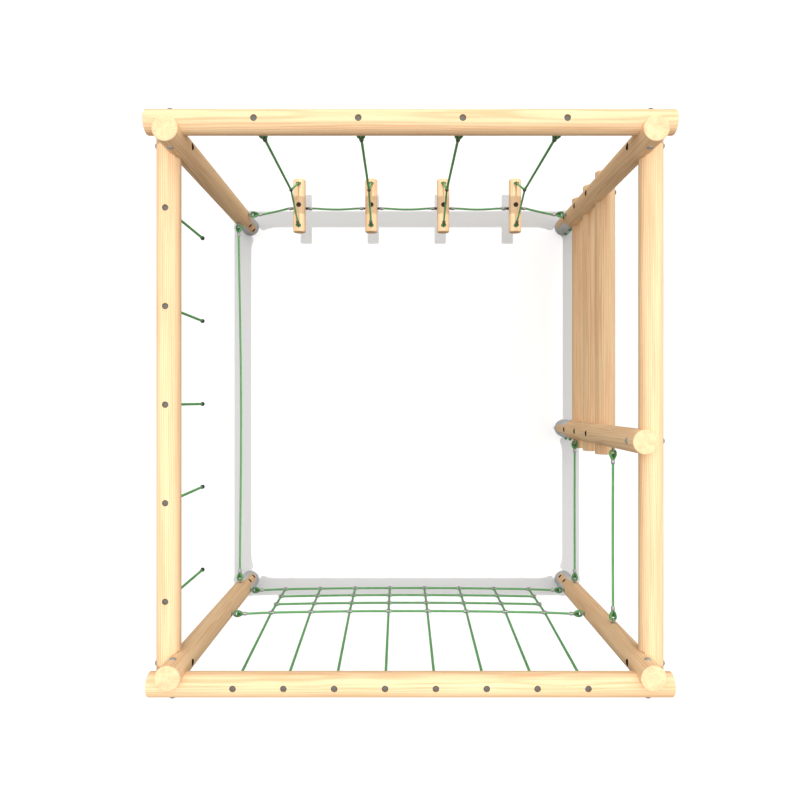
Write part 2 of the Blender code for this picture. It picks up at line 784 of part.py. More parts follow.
def build_steps():
    pivots = [build_step(index) for index in range(STEP_COUNT)]
    for name, post, way, index in (("west", "north_west", EAST, 0),
                                   ("east", "north_east", -EAST, STEP_COUNT - 1)):
        end, solids = post_end(post, way, LINK_POST_HEIGHT)
        piece(f"link_eye_{name}", united(solids), ALUMINIUM)
        points = straight_ended(eased_points, end.end + way * CLEARANCE,
                                link_point(index, -way.x), way, LINK_SAG / 6, 6)
        piece(f"link_rope_{name}", tube(points, ROPE_RADIUS), ROPE)
    for index in range(STEP_COUNT - 1):
        points = straight_ended(sag_points, link_point(index, 1), link_point(index + 1, -1),
                                EAST, LINK_SAG, 6)
        piece(f"link_rope_{index + 1}", tube(points, ROPE_RADIUS), ROPE, pivots[index])


# Hanging ropes

def build_hanging_ropes():
    cap = turned([(0, 0), (END_CAP_RADIUS * 0.68, 0), (END_CAP_RADIUS, -END_CAP_LENGTH * 0.7),
                  (END_CAP_RADIUS * 0.7, -END_CAP_LENGTH), (0, -END_CAP_LENGTH)],
                 WOOD_SEGMENTS // 2)
    for index in range(HANGING_ROPE_COUNT):
        number = index + 1
        y = (index - (HANGING_ROPE_COUNT - 1) / 2) * HANGING_ROPE_PITCH
        under = Vector((-RAIL_X, y, SIDE_RAIL_Z - RAIL_RADIUS))
        end = rail_eye("west_rail", under, 0, f"west_eye_bolt_{number}", NORTH)
        pivot = joint_empty(f"hanging_rope_{number}_pivot", end.pin)
        foot = Vector((-RAIL_X, y, HANGING_ROPE_END + END_CAP_LENGTH + CLEARANCE))
        length = end.inside.z - foot.z
        count = round(length / (6 * ROPE_RADIUS))
        points = [end.inside.lerp(foot, i / count) for i in range(count + 1)]
        rope = united([(tube(points, ROPE_RADIUS), Matrix.Identity(4))] + end.solids(EAST))
        piece(f"hanging_rope_{number}", rope, ROPE, pivot)
        piece(f"rope_end_cap_{number}", moved(cap, Matrix.Translation(foot - UP * CLEARANCE)),
              BLACK, pivot)


def move_to_centre():
    """The north ends of the steps stand out furthest, so the footprint's middle isn't the posts'."""
    reach_north = RAIL_Y + STEP_LENGTH / 2
    reach_south = RAIL_Y + RAIL_RADIUS + CAP_HEIGHT
    for obj in bpy.data.objects:
        if obj.parent is None:
            obj.location.y -= (reach_north - reach_south) / 2


build_posts()
build_rails()
build_logs()
build_frame_bolts()
build_shoe_bolts()
build_post_ropes()
build_net()
build_steps()
build_hanging_ropes()
shape_all()
move_to_centre()
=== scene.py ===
import json
import math

import bmesh
import bpy
from mathutils import Matrix, Vector

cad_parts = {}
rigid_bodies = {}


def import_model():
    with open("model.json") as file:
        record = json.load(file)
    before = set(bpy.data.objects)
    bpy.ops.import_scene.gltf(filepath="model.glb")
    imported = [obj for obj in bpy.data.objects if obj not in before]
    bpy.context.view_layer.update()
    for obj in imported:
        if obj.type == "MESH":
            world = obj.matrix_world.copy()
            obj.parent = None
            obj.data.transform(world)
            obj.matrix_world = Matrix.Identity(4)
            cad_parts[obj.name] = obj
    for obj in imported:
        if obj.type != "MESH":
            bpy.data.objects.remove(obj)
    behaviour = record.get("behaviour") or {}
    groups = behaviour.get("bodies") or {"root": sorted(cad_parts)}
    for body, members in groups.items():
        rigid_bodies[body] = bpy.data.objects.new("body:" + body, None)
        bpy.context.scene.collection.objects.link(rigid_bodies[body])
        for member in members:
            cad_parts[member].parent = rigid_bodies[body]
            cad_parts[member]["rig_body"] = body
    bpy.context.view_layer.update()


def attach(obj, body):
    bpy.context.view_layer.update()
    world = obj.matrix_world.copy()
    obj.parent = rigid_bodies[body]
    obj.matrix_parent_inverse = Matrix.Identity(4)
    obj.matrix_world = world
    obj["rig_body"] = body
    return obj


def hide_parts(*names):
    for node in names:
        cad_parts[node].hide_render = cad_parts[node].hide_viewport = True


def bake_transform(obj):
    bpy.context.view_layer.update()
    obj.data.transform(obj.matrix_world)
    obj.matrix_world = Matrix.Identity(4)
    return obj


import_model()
scene = bpy.context.scene

east = Vector((1, 0, 0))
north = Vector((0, 1, 0))
up = Vector((0, 0, 1))
still = Matrix.Identity(4)

# The frame's own sizes, in metres, in the row frame
posts = {
    "north_west": {"x": -1.307, "y": 1.40675, "height": 2.117, "tongue": -45},
    "north_east": {"x": 1.307, "y": 1.40675, "height": 2.117, "tongue": 0},
    "south_west": {"x": -1.307, "y": -1.53525, "height": 2.076, "tongue": 45},
    "south_east": {"x": 1.307, "y": -1.53525, "height": 2.076, "tongue": -45},
    "middle_east": {"x": 1.307, "y": -0.27175, "height": 1.9497, "tongue": 0},
}
postRadius = 0.070
railRadius = 0.068
railOffset = 0.066     # from a post's axis out to the axis of the rail that it is let into
railOverhang = 0.130
logOverhang = 0.143
northRailZ = 2.021
southRailZ = 1.980
sideRailZ = 1.8437
logHeights = [0.318 + i * 0.3225 for i in range(3)]
ropeRadius = 0.008
gap = 0.0003

postX = posts["north_east"]["x"]
northY = posts["north_east"]["y"]
southY = posts["south_east"]["y"]
middleY = posts["middle_east"]["y"]
centreY = (northY + southY) / 2
railX = postX + railOffset
northRailY = northY + railOffset
southRailY = southY - railOffset


# Camera, light and floor

def makeCamera():
    lens = bpy.data.cameras.new("camera")
    lens.sensor_width = 36
    lens.angle = math.radians(60)
    lens.clip_end = 60
    camera = bpy.data.objects.new("camera", lens)
    camera.location = (-0.0565, -0.03815, 5.7927)
    scene.collection.objects.link(camera)
    scene.camera = camera


# A node whose inputs are numbers, colours or other nodes' outputs
def addNode(tree, kind, links=None, **settings):
    item = tree.nodes.new(kind)
    for key, value in settings.items():
        setattr(item, key, value)
    for key, value in (links or {}).items():
        if isinstance(value, bpy.types.NodeSocket):
            tree.links.new(value, item.inputs[key])
        else:
            item.inputs[key].default_value = value
    return item


def makeLight():
    world = bpy.data.worlds.new("sky")
    scene.world = world
    world.use_nodes = True
    tree = world.node_tree
    tree.nodes.clear()
    path = addNode(tree, "ShaderNodeLightPath")
    place = addNode(tree, "ShaderNodeTexCoord")
    lean = addNode(tree, "ShaderNodeVectorMath", {0: place.outputs["Generated"], 1: lightLook["lean"]},
                   operation="DOT_PRODUCT")
    squares = addNode(tree, "ShaderNodeVectorMath", {0: place.outputs["Generated"],
                                                     1: place.outputs["Generated"]}, operation="MULTIPLY")
    sides = addNode(tree, "ShaderNodeVectorMath", {0: squares.outputs[0], 1: (lightLook["sides"], 0, 0)},
                    operation="DOT_PRODUCT")
    extra = addNode(tree, "ShaderNodeMath", {0: lean.outputs["Value"], 1: sides.outputs["Value"]})
    level = addNode(tree, "ShaderNodeMath", {0: extra.outputs[0], 1: lightLook["ambient"],
                                             2: lightLook["ambient"]}, operation="MULTIPLY_ADD")
    ambient = addNode(tree, "ShaderNodeBackground", {"Color": (1, 1, 0.99, 1), "Strength": level.outputs[0]})
    white = addNode(tree, "ShaderNodeBackground", {"Color": (1, 1, 1, 1), "Strength": 1})
    mix = addNode(tree, "ShaderNodeMixShader", {0: path.outputs["Is Camera Ray"], 1: ambient.outputs[0],
                                                2: white.outputs[0]})
    addNode(tree, "ShaderNodeOutputWorld", {"Surface": mix.outputs[0]})
    sun = bpy.data.lights.new("sun", "SUN")
    sun.energy = lightLook["sun"]
    sun.angle = math.radians(0.4)
    lamp = bpy.data.objects.new("sun", sun)
    lamp.location = (0, 0, 6)
    scene.collection.objects.link(lamp)


# Pale ground that keeps the frame's shadow but throws little light back up
def makeFloor():
    shape = bmesh.new()
    bmesh.ops.create_grid(shape, x_segments=1, y_segments=1, size=40)
    mesh = bpy.data.meshes.new("floor")
    shape.to_mesh(mesh)
    shape.free()
    floor = bpy.data.objects.new("floor", mesh)
    scene.collection.objects.link(floor)
    paint = bpy.data.materials.new("ground")
    paint.use_nodes = True
    tree = paint.node_tree
    tree.nodes.clear()
    path = addNode(tree, "ShaderNodeLightPath")
    seen = addNode(tree, "ShaderNodeBsdfDiffuse", {"Color": (*[lightLook["floor"]] * 3, 1)})
    bounce = addNode(tree, "ShaderNodeBsdfDiffuse", {"Color": (*lightLook["bounce"], 1)})
    mix = addNode(tree, "ShaderNodeMixShader", {0: path.outputs["Is Camera Ray"], 1: bounce.outputs[0],
                                                2: seen.outputs[0]})
    addNode(tree, "ShaderNodeOutputMaterial", {"Surface": mix.outputs[0]})
    mesh.materials.append(paint)


lightLook = {"ambient": 0.86, "sun": 2.00, "lean": (0.18, 0.92, 0.34), "sides": 0.6, "floor": 0.67,
             "bounce": (0.19, 0.18, 0.165)}
makeCamera()
makeLight()
makeFloor()
print("camera, light and floor")


# Meshes

# Puts a shape that is made along +Z at origin, pointing along direction
def facing(origin, direction):
    return Matrix.Translation(origin) @ Vector(direction).to_track_quat("Z", "Y").to_matrix().to_4x4()


# The same, with the shape's own +Y along normal as well
def framed(origin, forward, normal):
    forward = Vector(forward).normalized()
    normal = Vector(normal).normalized()
    turn = Matrix((normal.cross(forward), normal, forward)).transposed().to_4x4()
    return Matrix.Translation(origin) @ turn


def smooth(mesh, angle=40):
    mesh.shade_smooth()
    mesh.set_sharp_from_angle(angle=math.radians(angle))
    return mesh


# A closed solid of revolution about Z; the profile of (radius, z) runs down its outer side
def lathe(profile, segments=48):
    shape = bmesh.new()
    rings = []
    for radius, z in profile:
        if radius < 1e-7:
            rings.append([shape.verts.new((0, 0, z))])
            continue
        rings.append([shape.verts.new((radius * math.cos(a), radius * math.sin(a), z))
                      for a in (2 * math.pi * i / segments for i in range(segments))])
    for upper, lower in zip(rings, rings[1:]):
        if len(upper) == len(lower) == 1:
            continue
        for i in range(segments):
            j = (i + 1) % segments
            corners = [upper[i % len(upper)], lower[i % len(lower)], lower[j % len(lower)],
                       upper[j % len(upper)]]
            shape.faces.new(list(dict.fromkeys(corners)))
    return finished(shape)


def finished(shape, angle=40):
    bmesh.ops.recalc_face_normals(shape, faces=shape.faces)
    mesh = bpy.data.meshes.new("shape")
    shape.to_mesh(mesh)
    shape.free()
    return smooth(mesh, angle)


# A profile with its outer corners eased by radius; the ends stay as they are
def rounded(corners, radius, steps=3):
    result = [corners[0]]
    for before, corner, after in zip(corners, corners[1:], corners[2:]):
        a, b, c = Vector(before), Vector(corner), Vector(after)
        reach = min(radius, (a - b).length * 0.49, (c - b).length * 0.49)
        start = b + (a - b).normalized() * reach
        end = b + (c - b).normalized() * reach
        for i in range(steps + 1):
            t = i / steps
            result.append(tuple(start * (1 - t) ** 2 + b * 2 * t * (1 - t) + end * t ** 2))
    result.append(corners[-1])
    return result


def torus(centreRadius, barRadius, steps=32, barSteps=14):
    shape = bmesh.new()
    rings = []
    for i in range(steps):
        a = 2 * math.pi * i / steps
        rings.append([shape.verts.new(((centreRadius + barRadius * math.cos(b)) * math.cos(a),
                                       (centreRadius + barRadius * math.cos(b)) * math.sin(a),
                                       barRadius * math.sin(b)))
                      for b in (2 * math.pi * j / barSteps for j in range(barSteps))])
    for i in range(steps):
        for j in range(barSteps):
            shape.faces.new((rings[i][j], rings[(i + 1) % steps][j],
                             rings[(i + 1) % steps][(j + 1) % barSteps], rings[i][(j + 1) % barSteps]))
    return finished(shape)


# Evenly spaced points on a smooth curve through points
def curved(points, step):
    points = [Vector(p) for p in points]
    if len(points) == 2:
        dense = points
    else:
        ends = [points[0] * 2 - points[1], *points, points[-1] * 2 - points[-2]]
        dense = []
        for p0, p1, p2, p3 in zip(ends, ends[1:], ends[2:], ends[3:]):
            for i in range(10):
                t = i / 10
                dense.append(0.5 * (2 * p1 + (p2 - p0) * t + (2 * p0 - 5 * p1 + 4 * p2 - p3) * t ** 2
                                    + (3 * p1 - p0 - 3 * p2 + p3) * t ** 3))
        dense.append(points[-1])
    lengths = [0]
    for a, b in zip(dense, dense[1:]):
        lengths.append(lengths[-1] + (b - a).length)
    count = max(1, round(lengths[-1] / step))
    result = []
    k = 0
    for i in range(count + 1):
        want = lengths[-1] * i / count
        while k < len(lengths) - 2 and lengths[k + 1] < want:
            k += 1
        t = (want - lengths[k]) / max(1e-9, lengths[k + 1] - lengths[k])
        result.append(dense[k].lerp(dense[k + 1], t))
    return result


# A rope of twisted strands along points; a vertex attribute is 1 between the strands, where the rope paint
# puts painted shade, and shade lifts it everywhere to paint the whole rope darker as if shaded
def twisted(points, radius, strands=4, pitch=0.060, closed=False, step=0.006, shade=0):
    path = curved(points, step) if not closed else [Vector(p) for p in points]
    sides = strands * 5
    shape = bmesh.new()
    layer = shape.verts.layers.float.new("groove")
    rings = []
    normal = None
    total = 0
    length = sum((b - a).length for a, b in zip(path, path[1:] + (path[:1] if closed else [])))
    turns = max(1, round(length / pitch)) / length if closed else 1 / pitch
    for i, point in enumerate(path):
        before = path[i - 1] if closed or i else point
        after = path[(i + 1) % len(path)] if closed or i < len(path) - 1 else point
        tangent = (after - before).normalized()
        if normal is None:
            normal = tangent.orthogonal().normalized() if abs(tangent.z) > 0.9 or not closed else up.copy()
        normal = (normal - tangent * normal.dot(tangent)).normalized()
        side = tangent.cross(normal)
        if i:
            total += (point - path[i - 1]).length
        twist = 2 * math.pi * total * turns
        loop = []
        for k in range(sides):
            a = 2 * math.pi * k / sides
            bulge = abs(math.cos(strands * a / 2))
            reach = radius * (0.86 + 0.20 * bulge)
            way = normal * math.cos(a + twist) + side * math.sin(a + twist)
            vert = shape.verts.new(point + way * reach)
            vert[layer] = min(1, 1 - bulge + shade)
            loop.append(vert)
        rings.append(loop)
    pairs = list(zip(rings, rings[1:])) + ([(rings[-1], rings[0])] if closed else [])
    for lower, upper in pairs:
        for k in range(sides):
            shape.faces.new((lower[k], lower[(k + 1) % sides], upper[(k + 1) % sides], upper[k]))
    if not closed:
        shape.faces.new(rings[0][::-1])
        shape.faces.new(rings[-1])
    return finished(shape, 80)


# One mesh from a list of (mesh, matrix)
def joined(parts):
    shape = bmesh.new()
    shape.verts.layers.float.new("groove")
    for mesh, matrix in parts:
        copy = mesh.copy()
        copy.transform(matrix)
        shape.from_mesh(copy)
    mesh = bpy.data.meshes.new("joined")
    shape.to_mesh(mesh)
    shape.free()
    mesh.shade_smooth()
    return mesh


# The mesh less all the cutters, each (mesh, matrix)
def carved(mesh, cutters):
    obj = bpy.data.objects.new("carved", mesh)
    scene.collection.objects.link(obj)
    taken = bpy.data.collections.new("cutters")
    scene.collection.children.link(taken)
    for cutter, matrix in cutters:
        copy = cutter.copy()
        copy.transform(matrix)
        taken.objects.link(bpy.data.objects.new("cutter", copy))
    boolean = obj.modifiers.new("Cut", "BOOLEAN")
    boolean.operand_type = "COLLECTION"
    boolean.collection = taken
    bpy.context.view_layer.update()
    result = bpy.data.meshes.new_from_object(obj.evaluated_get(bpy.context.evaluated_depsgraph_get()))
    for cutter in list(taken.objects):
        bpy.data.objects.remove(cutter)
    bpy.data.collections.remove(taken)
    bpy.data.objects.remove(obj)
    return smooth(result)


# An object that rides on body; the walls of its pockets, each (place, radius, depth), are painted near black
# as painted shade
def piece(name, mesh, paint, body="frame", nodes=(), pockets=()):
    mesh = mesh.copy()
    mesh.name = name
    mesh.materials.clear()
    mesh.materials.append(paint)
    if pockets:
        mesh.materials.append(boreDark)
    # The pockets' floors and deeper walls take the painted shade material
    for place, radius, depth in pockets:
        inward = place.inverted()
        for face in mesh.polygons:
            spot = inward @ face.center
            level = abs((inward.to_3x3() @ face.normal).z) < 0.5
            if math.hypot(spot.x, spot.y) < radius + 0.0002 and -depth - 0.0002 < spot.z < 0.001:
                if level or spot.z < -depth / 2:
                    face.material_index = 1
    obj = bpy.data.objects.new(name, mesh)
    scene.collection.objects.link(obj)
    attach(obj, body)
    if nodes:
        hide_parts(*nodes)
    return obj


# Materials

def newPaint(name, **values):
    paint = bpy.data.materials.new(name)
    paint.use_nodes = True
    tree = paint.node_tree
    shader = tree.nodes["Principled BSDF"]
    for key, value in values.items():
        shader.inputs[key.replace("_", " ")].default_value = value
    return paint, tree, shader


# Round timber, in coordinates with Z along the log: rings about a wandering pith, and fibre
def makeWoodGroup():
    group = bpy.data.node_groups.new("roundTimber", "ShaderNodeTree")
    group.interface.new_socket("Vector", in_out="INPUT", socket_type="NodeSocketVector")
    group.interface.new_socket("Seed", in_out="INPUT", socket_type="NodeSocketFloat")
    group.interface.new_socket("Color", in_out="OUTPUT", socket_type="NodeSocketColor")
    group.interface.new_socket("Roughness", in_out="OUTPUT", socket_type="NodeSocketFloat")
    group.interface.new_socket("Height", in_out="OUTPUT", socket_type="NodeSocketFloat")
    given = addNode(group, "NodeGroupInput")
    vector = given.outputs["Vector"]
    seed = given.outputs["Seed"]
    slow = addNode(group, "ShaderNodeVectorMath", {0: vector, 1: (2.2, 2.2, 0.55)}, operation="MULTIPLY")
    wander = addNode(group, "ShaderNodeTexNoise", {"Vector": slow.outputs[0], "W": seed, "Scale": 1.6,
                                                   "Detail": 2.0, "Roughness": 0.5}, noise_dimensions="4D")
    centred = addNode(group, "ShaderNodeVectorMath", {0: wander.outputs["Color"], 1: (0.5, 0.5, 0.5)},
                      operation="SUBTRACT")
    drift = addNode(group, "ShaderNodeVectorMath", {0: centred.outputs[0], 1: (0.045, 0.045, 0)},
                    operation="MULTIPLY")
    moved = addNode(group, "ShaderNodeVectorMath", {0: vector, 1: drift.outputs[0]}, operation="ADD")
    flat = addNode(group, "ShaderNodeVectorMath", {0: moved.outputs[0], 1: (1, 1, 0)}, operation="MULTIPLY")
    distance = addNode(group, "ShaderNodeVectorMath", {0: flat.outputs[0]}, operation="LENGTH")
    phase = addNode(group, "ShaderNodeMath", {0: distance.outputs["Value"], 1: 640.0}, operation="MULTIPLY")
    wave = addNode(group, "ShaderNodeMath", {0: phase.outputs[0]}, operation="SINE")
    rings = addNode(group, "ShaderNodeMapRange", {0: wave.outputs[0], 1: -1.0, 2: 1.0})
    sharp = addNode(group, "ShaderNodeMath", {0: rings.outputs[0], 1: 2.2}, operation="POWER")
    stretched = addNode(group, "ShaderNodeVectorMath", {0: vector, 1: (120, 120, 2.4)}, operation="MULTIPLY")
    fibre = addNode(group, "ShaderNodeTexNoise", {"Vector": stretched.outputs[0], "W": seed, "Scale": 1.0,
                                                  "Detail": 3.0, "Roughness": 0.6}, noise_dimensions="4D")
    wide = addNode(group, "ShaderNodeVectorMath", {0: vector, 1: (26, 26, 1.3)}, operation="MULTIPLY")
    broad = addNode(group, "ShaderNodeTexNoise", {"Vector": wide.outputs[0], "W": seed, "Scale": 1.0,
                                                  "Detail": 2.0}, noise_dimensions="4D")
    speck = addNode(group, "ShaderNodeTexNoise", {"Vector": vector, "W": seed, "Scale": 130.0, "Detail": 3.0,
                                                  "Roughness": 0.7}, noise_dimensions="4D")
    speckPart = addNode(group, "ShaderNodeMath", {0: speck.outputs["Fac"], 1: woodLook["speck"]},
                        operation="MULTIPLY")
    ringPart = addNode(group, "ShaderNodeMath", {0: sharp.outputs[0], 1: woodLook["rings"]},
                       operation="MULTIPLY")
    fibrePart = addNode(group, "ShaderNodeMath", {0: fibre.outputs["Fac"], 1: woodLook["fibre"]},
                        operation="MULTIPLY")
    broadPart = addNode(group, "ShaderNodeMath", {0: broad.outputs["Fac"], 1: woodLook["broad"]},
                        operation="MULTIPLY")
    first = addNode(group, "ShaderNodeMath", {0: ringPart.outputs[0], 1: fibrePart.outputs[0]})
    second = addNode(group, "ShaderNodeMath", {0: first.outputs[0], 1: broadPart.outputs[0]})
    third = addNode(group, "ShaderNodeMath", {0: second.outputs[0], 1: speckPart.outputs[0]}, use_clamp=True)
    color = addNode(group, "ShaderNodeValToRGB", {"Fac": third.outputs[0]})
    ramp = color.color_ramp
    ramp.elements[0].position = 0.48
    ramp.elements[0].color = (*woodLook["pale"], 1)
    ramp.elements[1].position = 0.958
    ramp.elements[1].color = (*woodLook["dark"], 1)
    middle = ramp.elements.new(0.70)
    middle.color = (*woodLook["middle"], 1)
    rough = addNode(group, "ShaderNodeMapRange", {0: fibre.outputs["Fac"], 3: 0.50, 4: 0.72})
    addNode(group, "NodeGroupOutput", {"Color": color.outputs[0], "Roughness": rough.outputs[0],
                                       "Height": first.outputs[0]})
    return group


woodLook = {"pale": (0.81, 0.59, 0.35), "middle": (0.785, 0.54, 0.315), "dark": (0.65, 0.39, 0.21),
            "rings": 0.20, "fibre": 0.62, "broad": 0.56, "speck": 0.24}
woodGroup = makeWoodGroup()


# The timber of one log, whose axis runs through centre along direction
def woodPaint(name, centre, direction, seed):
    paint, tree, shader = newPaint(name, Specular_IOR_Level=0.25)
    place = addNode(tree, "ShaderNodeTexCoord")
    pith = Vector((0.10 * math.cos(seed), 0.10 * math.sin(seed), 0))
    local = Matrix.Translation(pith) @ facing(centre, direction).inverted()
    turn = addNode(tree, "ShaderNodeMapping", {"Vector": place.outputs["Object"],
                                               "Location": local.translation,
                                               "Rotation": local.to_euler()})
    look = tree.nodes.new("ShaderNodeGroup")
    look.node_tree = woodGroup
    tree.links.new(turn.outputs[0], look.inputs["Vector"])
    look.inputs["Seed"].default_value = seed
    tree.links.new(look.outputs["Color"], shader.inputs["Base Color"])
    tree.links.new(look.outputs["Roughness"], shader.inputs["Roughness"])
    bump = addNode(tree, "ShaderNodeBump", {"Height": look.outputs["Height"], "Strength": 0.35,
                                            "Distance": 0.0012})
    tree.links.new(bump.outputs[0], shader.inputs["Normal"])
    return paint


# Twisted green rope; the grooves between its strands are painted near-black green as painted shade
def ropePaint(name, look):
    paint, tree, shader = newPaint(name, Roughness=0.75, Specular_IOR_Level=0.3)
    place = addNode(tree, "ShaderNodeTexCoord")
    groove = addNode(tree, "ShaderNodeAttribute", attribute_name="groove")
    fuzz = addNode(tree, "ShaderNodeTexNoise", {"Vector": place.outputs["Object"], "Scale": 420.0,
                                                "Detail": 2.0})
    patch = addNode(tree, "ShaderNodeTexNoise", {"Vector": place.outputs["Object"], "Scale": 26.0,
                                                 "Detail": 2.0})
    # The grooves between the strands get painted shade
    deep = addNode(tree, "ShaderNodeMapRange", {0: groove.outputs["Fac"], 1: 0.25, 2: 0.95})
    tone = addNode(tree, "ShaderNodeMix", {"Factor": patch.outputs["Fac"], 6: (*look["dark"], 1),
                                           7: (*look["bright"], 1)}, data_type="RGBA")
    shade = addNode(tree, "ShaderNodeMix", {"Factor": deep.outputs[0], 6: tone.outputs[2],
                                            7: (*look["groove"], 1)}, data_type="RGBA")
    fleck = addNode(tree, "ShaderNodeMapRange", {0: fuzz.outputs["Fac"], 1: 0.35, 2: 0.75, 3: 0.75, 4: 1.35})
    final = addNode(tree, "ShaderNodeVectorMath", {0: shade.outputs[2], "Scale": fleck.outputs[0]},
                    operation="SCALE")
    tree.links.new(final.outputs[0], shader.inputs["Base Color"])
    bump = addNode(tree, "ShaderNodeBump", {"Height": fuzz.outputs["Fac"], "Strength": 0.5,
                                            "Distance": 0.001})
    tree.links.new(bump.outputs[0], shader.inputs["Normal"])
    return paint


# Worn metal or plain moulded plastic: a tone that drifts, small specks and scuffs
def metalPaint(name, look):
    paint, tree, shader = newPaint(name, Metallic=look["metallic"], Specular_IOR_Level=0.5)
    place = addNode(tree, "ShaderNodeTexCoord")
    cloud = addNode(tree, "ShaderNodeTexNoise", {"Vector": place.outputs["Object"], "Scale": look["scale"],
                                                 "Detail": 4.0, "Roughness": 0.6})
    spangle = addNode(tree, "ShaderNodeTexVoronoi", {"Vector": place.outputs["Object"],
                                                     "Scale": look["scale"] * 9})
    blend = addNode(tree, "ShaderNodeMath", {0: spangle.outputs["Distance"], 1: look["spangle"],
                                             2: cloud.outputs["Fac"]},
                    operation="MULTIPLY_ADD", use_clamp=True)
    tone = addNode(tree, "ShaderNodeMix", {"Factor": blend.outputs[0], 6: (*look["dark"], 1),
                                           7: (*look["light"], 1)}, data_type="RGBA")
    tree.links.new(tone.outputs[2], shader.inputs["Base Color"])
    rough = addNode(tree, "ShaderNodeMapRange", {0: cloud.outputs["Fac"], 3: look["rough"] - 0.08,
                                                 4: look["rough"] + 0.10})
    tree.links.new(rough.outputs[0], shader.inputs["Roughness"])
    bump = addNode(tree, "ShaderNodeBump", {"Height": blend.outputs[0], "Strength": 0.2, "Distance": 0.0006})
    tree.links.new(bump.outputs[0], shader.inputs["Normal"])
    return paint


# The third colour is painted shade for the grooves between the strands
ropeGreen = ropePaint("greenRope", {"bright": (0.22, 0.54, 0.21), "dark": (0.115, 0.33, 0.110),
                                    "groove": (0.028, 0.10, 0.028)})
zinc = metalPaint("zinc", {"dark": (0.50, 0.51, 0.53), "light": (0.72, 0.73, 0.74), "metallic": 0.35,
                           "rough": 0.5, "scale": 22.0, "spangle": 0.35})
silver = metalPaint("silver", {"dark": (0.26, 0.26, 0.26), "light": (0.52, 0.52, 0.51), "metallic": 0.85,
                               "rough": 0.33, "scale": 60.0, "spangle": 0.2})
headGrey = metalPaint("headGrey", {"dark": (0.20, 0.19, 0.17), "light": (0.34, 0.33, 0.30), "metallic": 0.2,
                                   "rough": 0.5, "scale": 60.0, "spangle": 0.2})
capGrey = metalPaint("capGrey", {"dark": (0.060, 0.058, 0.047), "light": (0.105, 0.102, 0.084),
                                 "metallic": 0.0, "rough": 0.55, "scale": 90.0, "spangle": 0.15})
# Near-black brown painted into bores and pockets as painted shade
boreDark = metalPaint("boreDark", {"dark": (0.020, 0.010, 0.005), "light": (0.045, 0.024, 0.012),
                                   "metallic": 0.0, "rough": 0.8, "scale": 90.0, "spangle": 0.1})
darkSteel = metalPaint("darkSteel", {"dark": (0.03, 0.03, 0.03), "light": (0.09, 0.09, 0.085),
                                     "metallic": 0.6, "rough": 0.5, "scale": 90.0, "spangle": 0.2})
greenCap = metalPaint("greenCap", {"dark": (0.03, 0.16, 0.05), "light": (0.06, 0.28, 0.09), "metallic": 0.0,
                                   "rough": 0.4, "scale": 120.0, "spangle": 0.15})
blackCap = metalPaint("blackCap", {"dark": (0.012, 0.02, 0.016), "light": (0.035, 0.055, 0.042),
                                   "metallic": 0.0, "rough": 0.45, "scale": 120.0, "spangle": 0.15})
print("materials")


# Round timber

# A round log about its middle, along Z, its ends dished a little where the saw went through
def logShape(radius, length, edge=0.006, segments=96):
    half = length / 2
    profile = [(0, half - 0.0004), (radius * 0.45, half - 0.0002), (radius, half),
               (radius, half - length / 3), (radius, -half + length / 3), (radius, -half),
               (radius * 0.45, -half + 0.0002), (0, -half + 0.0004)]
    return lathe(rounded(profile, edge, 4), segments)


def hole(radius, depth, segments=40):
    return lathe([(0, 0.02), (radius, 0.02), (radius, -depth), (0, -depth)], segments)


domeCap = lathe(rounded([(0, 0.008), (0.012, 0.0075), (0.018, 0.0015), (0.018, -0.004), (0, -0.004)],
                        0.003, 3), 36)
flatCap = lathe(rounded([(0, 0.0055), (0.0165, 0.005), (0.018, 0), (0, 0)], 0.002, 3), 36)
nutShape = lathe(rounded([(0, 0.012), (0.0065, 0.012), (0.0065, 0.009), (0.0155, 0.009), (0.0155, 0),
                          (0, 0)], 0.001, 2), 6)
pocketLook = {"nut": 0.021, "screw": 0.0175, "cap": 0.0184, "depth": 0.020, "capDepth": 0.012}
nutPocket = hole(pocketLook["nut"], pocketLook["depth"])
screwPocket = hole(pocketLook["screw"], pocketLook["depth"])
capPocket = hole(pocketLook["cap"], pocketLook["capDepth"])

caps = []        # grey caps outside on rails and logs, and in the rails' tops
heads = []       # bright bolt heads on the posts' inner sides
nuts = []        # nuts deep in a pocket
postCuts = {name: [] for name in posts}
postPockets = {name: [] for name in posts}
railCuts = {"north_rail": [], "south_rail": [], "west_rail": [], "east_rail": []}


def frameBolt(post, outward, height, recessed):
    spot = posts[post]
    axis = Vector((spot["x"], spot["y"], height))
    caps.append((domeCap, facing(axis + outward * (railOffset + railRadius), outward)))
    inner = axis - outward * postRadius
    if recessed:
        postCuts[post].append((nutPocket, facing(inner, -outward)))
        postPockets[post].append((facing(inner, -outward), pocketLook["nut"], pocketLook["depth"]))
        nuts.append((nutShape, facing(inner + outward * 0.0188, -outward)))
    else:
        heads.append((domeCap, facing(inner, -outward)))


for post, spot in posts.items():
    across = east if spot["x"] > 0 else -east
    frameBolt(post, across, sideRailZ, post != "middle_east")
    if post != "middle_east":
        northern = spot["y"] > 0
        frameBolt(post, north if northern else -north, northRailZ if northern else southRailZ, False)
for height in logHeights:
    for post in ("north_east", "middle_east"):
        frameBolt(post, east, height, True)


# Posts and their steel shoes

shoeLook = {"height": 0.300, "wall": 0.005, "base": 0.008, "tongue": 0.066, "foot": 0.060,
            "bolts": (0.099, 0.237)}


